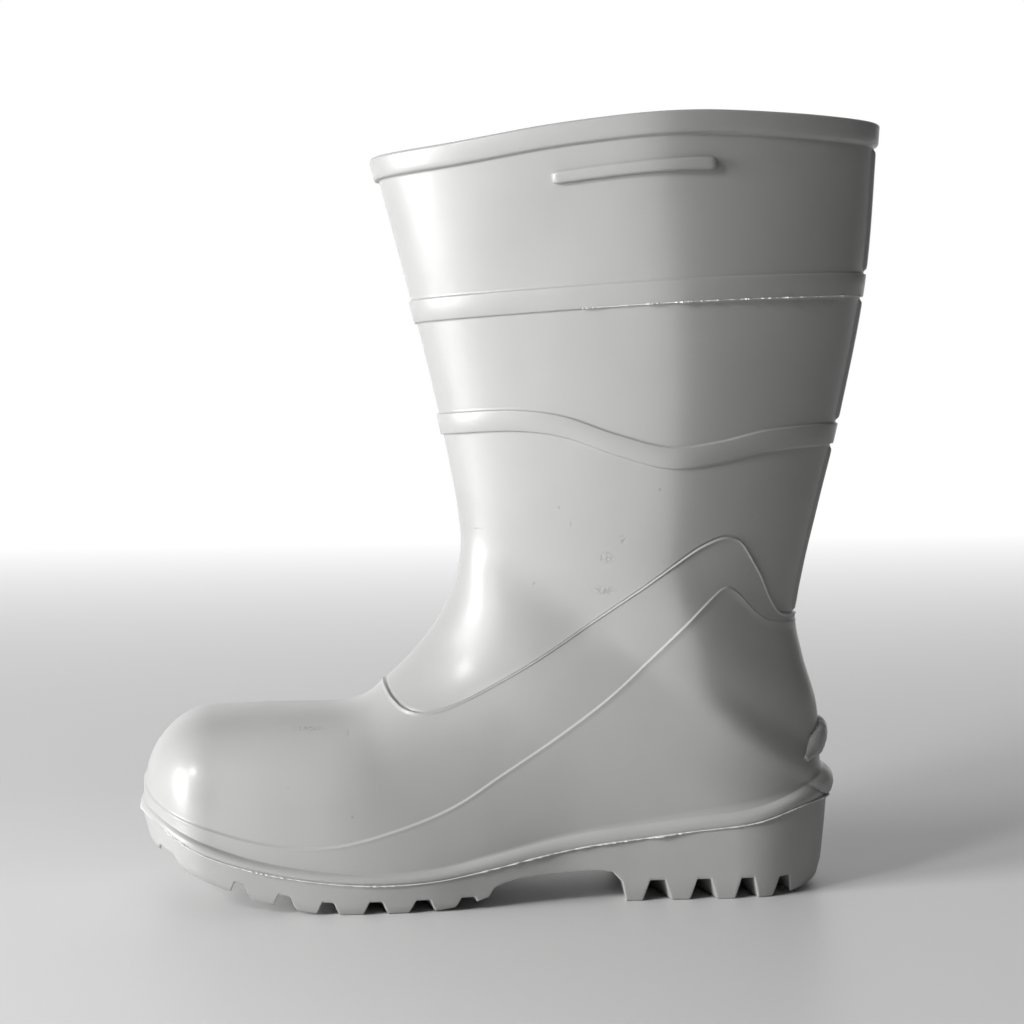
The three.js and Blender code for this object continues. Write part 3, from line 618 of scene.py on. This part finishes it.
def ridge(name, points, away, height, proud, sizes, corners=24, square=1.0):
    along = np.gradient(points, axis=0)
    along /= np.linalg.norm(along, axis=1, keepdims=True)
    up = np.cross(away, along)
    up /= np.linalg.norm(up, axis=1, keepdims=True)
    centre = points + away * (proud - ridgeSunk) / 2
    turns = np.linspace(0, 2 * math.pi, corners, endpoint=False)
    across = np.sign(np.cos(turns)) * np.abs(np.cos(turns)) ** square * (proud + ridgeSunk) / 2
    tall = np.sign(np.sin(turns)) * np.abs(np.sin(turns)) ** square * height / 2
    loops = centre[:, None] + sizes[:, None, None] * (
        away[:, None] * across[None, :, None] + up[:, None] * tall[None, :, None])
    ends = np.repeat(centre[[0, -1]][:, None], corners, axis=1)
    rows = np.concatenate((ends[:1], loops, ends[1:]))
    piece = loopMesh(name, rows)
    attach(piece, "root")
    return piece


def onOuterSide(line, share):
    # points along a course on the outer side, away from the boot's outline
    x, z = onCourse(line, share)
    return skinPoints(x, z, np.ones_like(x, bool), np.zeros_like(x, bool))


def buildGrip():
    reach = grip["length"] / boot["collarLength"] / 2
    share = grip["centre"] + reach * np.linspace(-1, 1, grip["steps"])
    points, away = onOuterSide(course(collarLine, grip["drop"], share), share)
    fromEnd = np.minimum(np.arange(grip["steps"]), np.arange(grip["steps"])[::-1])
    sizes = mix(grip["ends"], 1, smooth(fromEnd, 0, 1.5))
    return ridge("gripBar", points, away, grip["height"], grip["proud"], sizes, square=grip["square"])


def buildSpur():
    place = np.linspace(1, -1, spur["steps"])
    start = pointOn(backLine, shareAt(backLine, spur["height"]))[0]
    x = start + spur["length"] * place ** 2
    z = spur["height"] - spur["fall"] * np.abs(place) ** spur["curl"]
    points, away = skinPoints(x, z, place >= 0, np.abs(place) < 1e-3)
    fromEnd = 1 - np.abs(place)
    sizes = mix(spur["ends"], 1, smooth(fromEnd, 0, spur["taper"]))
    teeth = (1 + np.cos(place * spur["toothRate"])) / 2
    sizes = sizes - spur["toothDepth"] * smooth(fromEnd, 0.3, 0.5) * teeth
    return ridge("heelSpur", points, away, spur["thick"], spur["proud"], sizes)


gripBar = buildGrip()
heelSpur = buildSpur()
print("grip bar and spur done")

# Outsole: columns run from toe to heel, each a loop round the sole's cross section

outsole = {
    "columnStep": 0.8, "groove": 10, "grooveRoot": 0.52, "slant": 13, "middleRib": 14,
    "forefootLug": 5.6, "heelLug": 9, "edgeRound": 0.9, "edgeSetIn": 4.0, "sharpAngle": 50,
    "heelFlatAt": 0.112, "toeRiseAt": 0.716,  # shares of the sole's length, flat in between
    "acrossSteps": 30, "sideSteps": 12, "endSteps": 260, "ends": 8,
}
heelFlat = outsole["heelFlatAt"] * soleLength
toeRise = outsole["toeRiseAt"] * soleLength

# Grooves: place along the sole, width and depth against the usual ones
forefootGrooves = (
    (0.934, 0.85, 0.95), (0.840, 0.75, 0.95), (0.779, 0.90, 1.00), (0.720, 0.90, 1.00),
    (0.655, 1.00, 1.00), (0.591, 1.10, 1.00), (0.529, 1.10, 1.00),
)
heelGrooves = ((0.260, 1.20, 1.00), (0.194, 1.10, 1.00), (0.132, 1.00, 1.00), (0.079, 0.90, 0.90))

# The arch: place along the sole, height against the arch's
archRows = (
    (0.304, 0.00), (0.310, 0.60), (0.324, 0.93), (0.345, 1.00), (0.372, 0.98), (0.400, 0.94),
    (0.430, 0.90), (0.460, 0.84), (0.480, 0.75), (0.493, 0.62), (0.500, 0.36), (0.520, 0.22),
    (0.545, 0.11), (0.568, 0.04), (0.591, 0.00),
)
archCorners = (0.304, 0.307, 0.310, 0.317, 0.324, 0.493, 0.500)
# The side of the sole: height over the tread, how far it is set in under the lip
soleSideRows = ((0.00, 4.6), (0.22, 2.6), (0.72, 0.8), (1.00, 0.0))


def treadZ(x):
    heel = boot["heelRoll"] * np.clip((heelFlat - x) / heelFlat, 0, 2) ** 2
    toe = boot["toeSpring"] * np.clip((x - toeRise) / (toeTip - toeRise), 0, 2) ** 1.5
    return heel + toe


def softClip(value, ease=0.1):
    return (np.clip(value - ease, 0, 1) + 2 * np.clip(value, 0, 1) + np.clip(value + ease, 0, 1)) / 4


def underZ(x, y):
    # the underside's height at a place; y is the row frame's
    slant = math.radians(outsole["slant"])
    onOuter = y >= 0
    cut = np.zeros_like(x)
    for rows, lug in ((forefootGrooves, outsole["forefootLug"]), (heelGrooves, outsole["heelLug"])):
        for at, width, depth in rows:
            grooveX = at * soleLength
            edge = planHalf(np.full_like(x, grooveX), onOuter)
            middle = grooveX + math.tan(slant) * (edge - np.abs(y))
            low = width * outsole["groove"] / 2
            root = low * outsole["grooveRoot"]
            off = np.abs(x - middle) * math.cos(slant)
            wide = softClip((low - off) / (low - root))
            ends = smooth(np.abs(y), outsole["middleRib"] / 2 - 0.3, outsole["middleRib"] / 2 + 0.6)
            cut = np.maximum(cut, wide * ends * depth * lug)
    arch = np.interp(x / soleLength, *np.array(archRows).T) * boot["archHeight"]
    return np.maximum(treadZ(x) + cut, arch)


def underOf(points):
    return underZ(points[:, 0], swung(points)[:, 1] * 1000)


def soleColumns():
    # evenly spaced along the sole and closer at both ends, with one on each groove's corner
    even = np.arange(heelEnd + outsole["ends"], toeTip - outsole["ends"], outsole["columnStep"])
    turned = mix(heelEnd, toeTip, shareOf(np.linspace(0, math.pi, outsole["endSteps"])))
    corners = []
    for at, width, _ in forefootGrooves + heelGrooves:
        half = width * outsole["groove"] / 2
        for reach in (half, half * outsole["grooveRoot"]):
            corners += [at * soleLength - reach, at * soleLength + reach]
    corners += [at * soleLength for at in archCorners]
    places = np.unique(np.concatenate((even, turned, corners)))
    share = np.clip((toeTip - places) / (toeTip - heelEnd), 0, 1)
    return np.sort(np.arccos(1 - 2 * share))


def soleOutline(around):
    # points where upper and sole meet, and the level way out from each
    share = shareOf(around)
    x, z = onCourse(course(soleLine, 0.0, share), share)
    points, away = skinPoints(x, z, around <= math.pi, np.abs(np.sin(around)) < 1e-9)
    away[:, 2] = 0
    away /= np.linalg.norm(away, axis=1, keepdims=True)
    return points, away


def soleEdge(around):
    # rows of points from the tread's edge up the sole's side
    base, away = soleOutline(around)
    reach = boot["lipFoot"] * lipOut(around)
    radius = outsole["edgeRound"]

    def at(out):
        return base + away * out[:, None]

    low = at(reach - outsole["edgeSetIn"])
    under = underOf(low)
    top = soleLineZ(at(reach)[:, 0]) - boot["clearance"]
    tread = treadZ(low[:, 0])
    turns = np.linspace(0, math.pi / 2, 5)
    levels = [(under + radius * (1 - math.cos(turn)), radius * (1 - math.sin(turn))) for turn in turns]
    shares = np.linspace(0, 1, outsole["sideSteps"])[1:]
    levels += [(mix(under + radius, top, share), 0) for share in shares]
    rows = []
    for z, rounded in levels:
        up = np.clip((z - tread) / (top - tread), 0, 1)
        row = at(reach - np.interp(up, *np.array(soleSideRows).T) - rounded)
        row[:, 2] = z
        rows.append(row)
    return np.array(rows)


def buildOutsole():
    around = soleColumns()
    outer = soleEdge(around)
    inner = soleEdge(2 * math.pi - around)
    under = []
    for share in np.linspace(0, 1, outsole["acrossSteps"])[1:-1]:
        row = mix(inner[0], outer[0], share)
        row[:, 2] = underOf(row)
        under.append(row)
    rows = np.concatenate((inner[::-1], np.array(under), outer))
    piece = loopMesh("outsoleTread", rows.transpose(1, 0, 2), sharpAngle=outsole["sharpAngle"])
    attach(piece, "root")
    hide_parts("outsole")
    print("outsole:", len(piece.data.polygons), "faces")
    return piece


outsoleTread = buildOutsole()

# Flash: thin ragged fins left by the mould, where upper and sole meet and under the straight band

flash = {
    "columns": 1500, "soleReach": 1.8, "bandReach": 2.2, "thick": 0.9, "root": 0.4, "sharpAngle": 40,
    "bandRun": (0.36, 0.985), "bandUp": 0.3, "soleSeed": 11, "bandSeed": 5,
}


def ragged(count, seed, coarse, fine):
    # uneven between 0 and 1, with bare stretches
    dice = np.random.default_rng(seed)
    places = np.linspace(0, 1, count)
    long = np.interp(places, np.linspace(0, 1, coarse), dice.random(coarse))
    short = np.interp(places, np.linspace(0, 1, fine), dice.random(fine))
    return np.clip(long * 1.5 - 0.35, 0, 1) * short


def finPiece(name, base, away, reach):
    half = flash["thick"] / 2 * (0.5 + 0.5 * reach / reach.max())
    lift = half[:, None] * np.array((0, 0, 1))
    inside = base - away * flash["root"]
    tip = base + away * reach[:, None]
    rows = np.array((inside - lift, tip - lift * 0.5, tip + lift * 0.5, inside + lift))
    piece = loopMesh(name, rows.transpose(1, 0, 2), sharpAngle=flash["sharpAngle"])
    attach(piece, "root")
    return piece


def buildSoleFlash():
    around = np.linspace(0, 2 * math.pi, flash["columns"])
    base, away = soleOutline(around)
    base = base + away * lipOut(around)[:, None]
    base[:, 2] = soleLineZ(base[:, 0]) - boot["clearance"] / 2
    reach = flash["soleReach"] * ragged(flash["columns"], flash["soleSeed"], 60, 700)
    return finPiece("soleFlash", base, away, reach)


def buildBandFlash():
    share = np.linspace(*flash["bandRun"], flash["columns"] // 3)
    drop = upper["straightBand"] - flash["bandUp"]
    base, away = onOuterSide(course(straightLine, drop, share), share)
    base = base + away * upper["bandProud"]
    reach = flash["bandReach"] * ragged(len(share), flash["bandSeed"], 40, 240)
    return finPiece("bandFlash", base, away, reach)


soleFlash = buildSoleFlash()
bandFlash = buildBandFlash()
print("flash done")

# Lining and insole

lining = {"gap": 0.25, "thick": 0.9}
insole = {"thick": 4.0, "margin": 0.6, "edge": 1.0, "columns": 220, "sharpAngle": 40}


def buildLining():
    outerSide = innerCourses(-wall - lining["gap"])
    innerSide = innerCourses(-wall - lining["gap"] - lining["thick"])[::-1]
    rows = placed(outerSide + innerSide, angles, level=(0, len(outerSide) * 2 - 1))
    piece = loopMesh("knitLining", rows, closedRows=True)
    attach(piece, "root")
    return piece


def buildInsole():
    around = np.linspace(0, math.pi, insole["columns"])
    setIn = wall + lining["gap"] + lining["thick"] + insole["margin"]
    levels = ((0, 0), (insole["thick"] - insole["edge"], 0), (insole["thick"], -insole["edge"]))

    def edge(turn):
        base, away = soleOutline(turn)
        rows = []
        for rise, out in levels:
            row = base + away * (out - setIn)
            row[:, 2] = soleLineZ(row[:, 0]) + rise
            rows.append(row)
        return np.array(rows)

    rows = np.concatenate((edge(2 * math.pi - around), edge(around)[::-1]))
    piece = loopMesh("insoleBoard", rows.transpose(1, 0, 2), sharpAngle=insole["sharpAngle"])
    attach(piece, "root")
    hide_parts("insole")
    return piece


knitLining = buildLining()
insoleBoard = buildInsole()
print("lining and insole done")

# Materials

vinyl = {"colour": (0.385, 0.385, 0.38), "deep": (0.345, 0.345, 0.34), "roughness": 0.38, "coat": 0.22}
soleVinyl = {"colour": (0.38, 0.38, 0.375), "deep": (0.32, 0.32, 0.315), "roughness": 0.44, "coat": 0.05}
# the mould fins are painted paler than the boot's vinyl: a painted highlight for the light their thin edges
# catch from above
flashVinylPaintedHighlight = {"colour": (0.70, 0.70, 0.69), "deep": (0.55, 0.55, 0.54), "roughness": 0.5, "coat": 0.0}
grain = {
    "cloudScale": 14, "patchScale": 38, "waveScale": 30, "waveDepth": 0.0006, "waveStrength": 0.25,
    "peelScale": 420, "peelDepth": 0.0002, "peelStrength": 0.12, "coatRoughness": 0.2,
}
knit = {
    "colour": (0.66, 0.65, 0.61), "deep": (0.50, 0.49, 0.45), "ribScale": 260, "ribDepth": 0.0004,
    "ribStrength": 0.5, "uneven": 1.5, "roughness": 0.95, "sheen": 0.3,
}


def newMaterial(name):
    material = bpy.data.materials.new(name)
    material.use_nodes = True
    return material, material.node_tree.nodes, material.node_tree.links


def ramp(nodes, links, source, low, high, start=0.35, end=0.65):
    node = nodes.new("ShaderNodeValToRGB")
    node.color_ramp.elements[0].position = start
    node.color_ramp.elements[1].position = end
    node.color_ramp.elements[0].color = (*low, 1)
    node.color_ramp.elements[1].color = (*high, 1)
    links.new(source, node.inputs["Fac"])
    return node.outputs["Color"]


def noise(nodes, links, place, scale, detail=3.0, roughness=0.55):
    node = nodes.new("ShaderNodeTexNoise")
    node.inputs["Scale"].default_value = scale
    node.inputs["Detail"].default_value = detail
    node.inputs["Roughness"].default_value = roughness
    links.new(place, node.inputs["Vector"])
    return node.outputs["Fac"]


def bump(nodes, links, height, strength, distance, under=None):
    node = nodes.new("ShaderNodeBump")
    node.inputs["Strength"].default_value = strength
    node.inputs["Distance"].default_value = distance
    links.new(height, node.inputs["Height"])
    if under:
        links.new(under, node.inputs["Normal"])
    return node.outputs["Normal"]


def combined(nodes, links, operation, first, second):
    node = nodes.new("ShaderNodeMath")
    node.operation = operation
    for socket, source in zip(node.inputs, (first, second)):
        if isinstance(source, (int, float)):
            socket.default_value = source
        else:
            links.new(source, socket)
    return node.outputs["Value"]


def split(nodes, links, place, axis):
    node = nodes.new("ShaderNodeSeparateXYZ")
    links.new(place, node.inputs["Vector"])
    return node.outputs[axis]


def spreadValue(nodes, links, source, low, high):
    node = nodes.new("ShaderNodeMapRange")
    node.inputs["From Min"].default_value = low
    node.inputs["From Max"].default_value = high
    links.new(source, node.inputs["Value"])
    return node.outputs["Result"]


def laidOver(nodes, links, amount, colour, over):
    # one fixed colour laid over another
    node = nodes.new("ShaderNodeMix")
    node.data_type = "RGBA"
    node.inputs[7].default_value = (*over, 1)
    links.new(amount, node.inputs[0])
    links.new(colour, node.inputs[6])
    return node.outputs[2]


# Small marks on the outer side: place along and up the boot, and half their length and height, in metres
marks = {
    "dot": (0.0078, 0.1726, 0.0009, 0.0009),
    "nick": (0.0489, 0.1653, 0.0008, 0.0012),
    "scratch": (0.0441, 0.1580, 0.0005, 0.0022),
    "speckBack": (-0.0317, 0.1608, 0.0006, 0.0006),
    "thinLine": (0.0844, 0.1559, 0.0040, 0.0004),
    "speckFront": (0.0595, 0.1331, 0.0008, 0.0008),
    "scuff": (0.1540, 0.0745, 0.0080, 0.0009),
    "tick": (0.1381, 0.0729, 0.0008, 0.0016),
    "speckToe": (0.1622, 0.0529, 0.0008, 0.0008),
    "speckVamp": (0.1361, 0.0407, 0.0006, 0.0006),
    "speckSole": (0.0998, 0.0240, 0.0006, 0.0006),
    "scribbleTop": (0.0233, 0.1519, 0.0020, 0.0020),
    "scribble": (0.0294, 0.1445, 0.0040, 0.0030),
    "scribbleLow": (0.0310, 0.1307, 0.0060, 0.0024),
}
stain = {"colour": (0.2, 0.2, 0.2), "strength": 0.4, "depth": 0.0003, "breakScale": 900}


def markMask(nodes, links, place):
    total = None
    for x, z, long, high in marks.values():
        shift = nodes.new("ShaderNodeVectorMath")
        shift.operation = "SUBTRACT"
        shift.inputs[1].default_value = (x, 0, z)
        links.new(place, shift.inputs[0])
        scaled = nodes.new("ShaderNodeVectorMath")
        scaled.operation = "MULTIPLY"
        scaled.inputs[1].default_value = (1 / long, 0, 1 / high)
        links.new(shift.outputs["Vector"], scaled.inputs[0])
        size = nodes.new("ShaderNodeVectorMath")
        size.operation = "LENGTH"
        links.new(scaled.outputs["Vector"], size.inputs[0])
        spot = spreadValue(nodes, links, size.outputs["Value"], 1.0, 0.3)
        if total is None:
            total = spot
        else:
            total = combined(nodes, links, "MAXIMUM", total, spot)
    speckle = noise(nodes, links, place, stain["breakScale"], 2)
    broken = ramp(nodes, links, speckle, (0,) * 3, (1,) * 3, 0.45, 0.55)
    outerSide = spreadValue(nodes, links, split(nodes, links, place, "Y"), 0.0, 0.01)
    return combined(nodes, links, "MULTIPLY", combined(nodes, links, "MULTIPLY", total, broken), outerSide)


def vinylMaterial(name, look, marked=False):
    material, nodes, links = newMaterial(name)
    shader = nodes["Principled BSDF"]
    place = nodes.new("ShaderNodeTexCoord").outputs["Object"]
    clouds = noise(nodes, links, place, grain["cloudScale"])
    colour = ramp(nodes, links, clouds, look["deep"], look["colour"], 0.2, 0.6)
    rough = look["roughness"]
    patches = noise(nodes, links, place, grain["patchScale"], 5)
    uneven = ramp(nodes, links, patches, (rough * 0.88,) * 3, (rough * 1.18,) * 3, 0.3, 0.7)
    waves = noise(nodes, links, place, grain["waveScale"], 2)
    surface = bump(nodes, links, waves, grain["waveStrength"], grain["waveDepth"])
    peel = noise(nodes, links, place, grain["peelScale"], 2)
    surface = bump(nodes, links, peel, grain["peelStrength"], grain["peelDepth"], surface)
    if marked:
        mask = markMask(nodes, links, place)
        faint = combined(nodes, links, "MULTIPLY", mask, stain["strength"])
        colour = laidOver(nodes, links, faint, colour, stain["colour"])
        surface = bump(nodes, links, mask, 0.5, -stain["depth"], surface)
    links.new(colour, shader.inputs["Base Color"])
    links.new(uneven, shader.inputs["Roughness"])
    links.new(surface, shader.inputs["Normal"])
    shader.inputs["Coat Weight"].default_value = look["coat"]
    shader.inputs["Coat Roughness"].default_value = grain["coatRoughness"]
    return material


def knitMaterial(name):
    material, nodes, links = newMaterial(name)
    shader = nodes["Principled BSDF"]
    ribs = nodes.new("ShaderNodeTexWave")
    ribs.inputs["Scale"].default_value = knit["ribScale"]
    ribs.inputs["Distortion"].default_value = knit["uneven"]
    links.new(nodes.new("ShaderNodeTexCoord").outputs["Object"], ribs.inputs["Vector"])
    colour = ramp(nodes, links, ribs.outputs["Fac"], knit["deep"], knit["colour"])
    surface = bump(nodes, links, ribs.outputs["Fac"], knit["ribStrength"], knit["ribDepth"])
    links.new(colour, shader.inputs["Base Color"])
    links.new(surface, shader.inputs["Normal"])
    shader.inputs["Roughness"].default_value = knit["roughness"]
    shader.inputs["Sheen Weight"].default_value = knit["sheen"]
    return material


upperVinyl = vinylMaterial("upperVinyl", vinyl, True)
outsoleVinyl = vinylMaterial("outsoleVinyl", soleVinyl)
paintedHighlightFinVinyl = vinylMaterial("paintedHighlightFinVinyl", flashVinylPaintedHighlight)
liningKnit = knitMaterial("liningKnit")
for piece in (bootUpper, gripBar, heelSpur):
    piece.data.materials.append(upperVinyl)
# the flash fins take the paler vinyl, a painted highlight along the flash lines
for piece in (bandFlash, soleFlash):
    piece.data.materials.append(paintedHighlightFinVinyl)
outsoleTread.data.materials.append(outsoleVinyl)
for piece in (knitLining, insoleBoard):
    piece.data.materials.append(liningKnit)
print("materials done")

# Studio: a pale floor, a soft light low on the toe's side with a small one over it, and a room
# that is white behind the boot, fairly bright overhead and dark elsewhere

studio = {
    "floorSize": 30.0, "floorColour": (0.68, 0.68, 0.68), "floorRoughness": 0.45,
    "fadeFrom": -0.25, "fadeTo": -2.2,          # metres behind the boot, where the floor turns white
    "roomBack": 1.0, "backFrom": -0.5, "backTo": -0.93,
    "roomTop": 0.55, "topFrom": 0.7, "topTo": 1.0,
    "roomFront": 0.03, "aim": (0.06, 0.0, 0.15),
}
keyLight = {"place": (1.62, 0.68, 0.42), "wide": 0.6, "tall": 0.7, "power": 41}
windowLight = {"place": (1.10, 1.00, 0.95), "wide": 0.25, "tall": 0.25, "power": 9}


def addFloor():
    half = studio["floorSize"] / 2
    corners = [(-half, -half, 0), (half, -half, 0), (half, half, 0), (-half, half, 0)]
    mesh = bpy.data.meshes.new("floor")
    mesh.from_pydata(corners, [], [(0, 1, 2, 3)])
    material, nodes, links = newMaterial("palePaper")
    shader = nodes["Principled BSDF"]
    shader.inputs["Base Color"].default_value = (*studio["floorColour"], 1)
    shader.inputs["Roughness"].default_value = studio["floorRoughness"]
    # the sheet turns white far behind the boot, so that no line shows between floor and wall
    place = nodes.new("ShaderNodeTexCoord").outputs["Object"]
    far = spreadValue(nodes, links, split(nodes, links, place, "Y"), studio["fadeFrom"], studio["fadeTo"])
    glow = nodes.new("ShaderNodeEmission")
    glow.inputs["Strength"].default_value = studio["roomBack"]
    blend = nodes.new("ShaderNodeMixShader")
    links.new(far, blend.inputs["Fac"])
    links.new(shader.outputs["BSDF"], blend.inputs[1])
    links.new(glow.outputs["Emission"], blend.inputs[2])
    links.new(blend.outputs["Shader"], nodes["Material Output"].inputs["Surface"])
    mesh.materials.append(material)
    floor = added("floor", mesh)


def addSoftLight(name, light):
    data = bpy.data.lights.new(name, "AREA")
    data.shape = "RECTANGLE"
    data.size = light["wide"]
    data.size_y = light["tall"]
    data.energy = light["power"]
    holder = added(name, data)
    holder.location = light["place"]
    aim = Vector(studio["aim"]) - holder.location
    holder.rotation_euler = aim.to_track_quat("-Z", "Y").to_euler()


def addRoom():
    world = bpy.data.worlds.new("room")
    world.use_nodes = True
    nodes, links = world.node_tree.nodes, world.node_tree.links
    view = nodes.new("ShaderNodeTexCoord").outputs["Generated"]
    behind = spreadValue(nodes, links, split(nodes, links, view, "Y"), studio["backFrom"], studio["backTo"])
    above = spreadValue(nodes, links, split(nodes, links, view, "Z"), studio["topFrom"], studio["topTo"])
    walls = ramp(nodes, links, behind, (studio["roomFront"],) * 3, (studio["roomBack"],) * 3, 0.0, 1.0)
    room = laidOver(nodes, links, above, walls, (studio["roomTop"],) * 3)
    links.new(room, nodes["Background"].inputs["Color"])
    bpy.context.scene.world = world


addFloor()
addSoftLight("keyLight", keyLight)
addSoftLight("windowLight", windowLight)
addRoom()
bpy.context.scene.view_settings.view_transform = "Standard"
print("studio done")
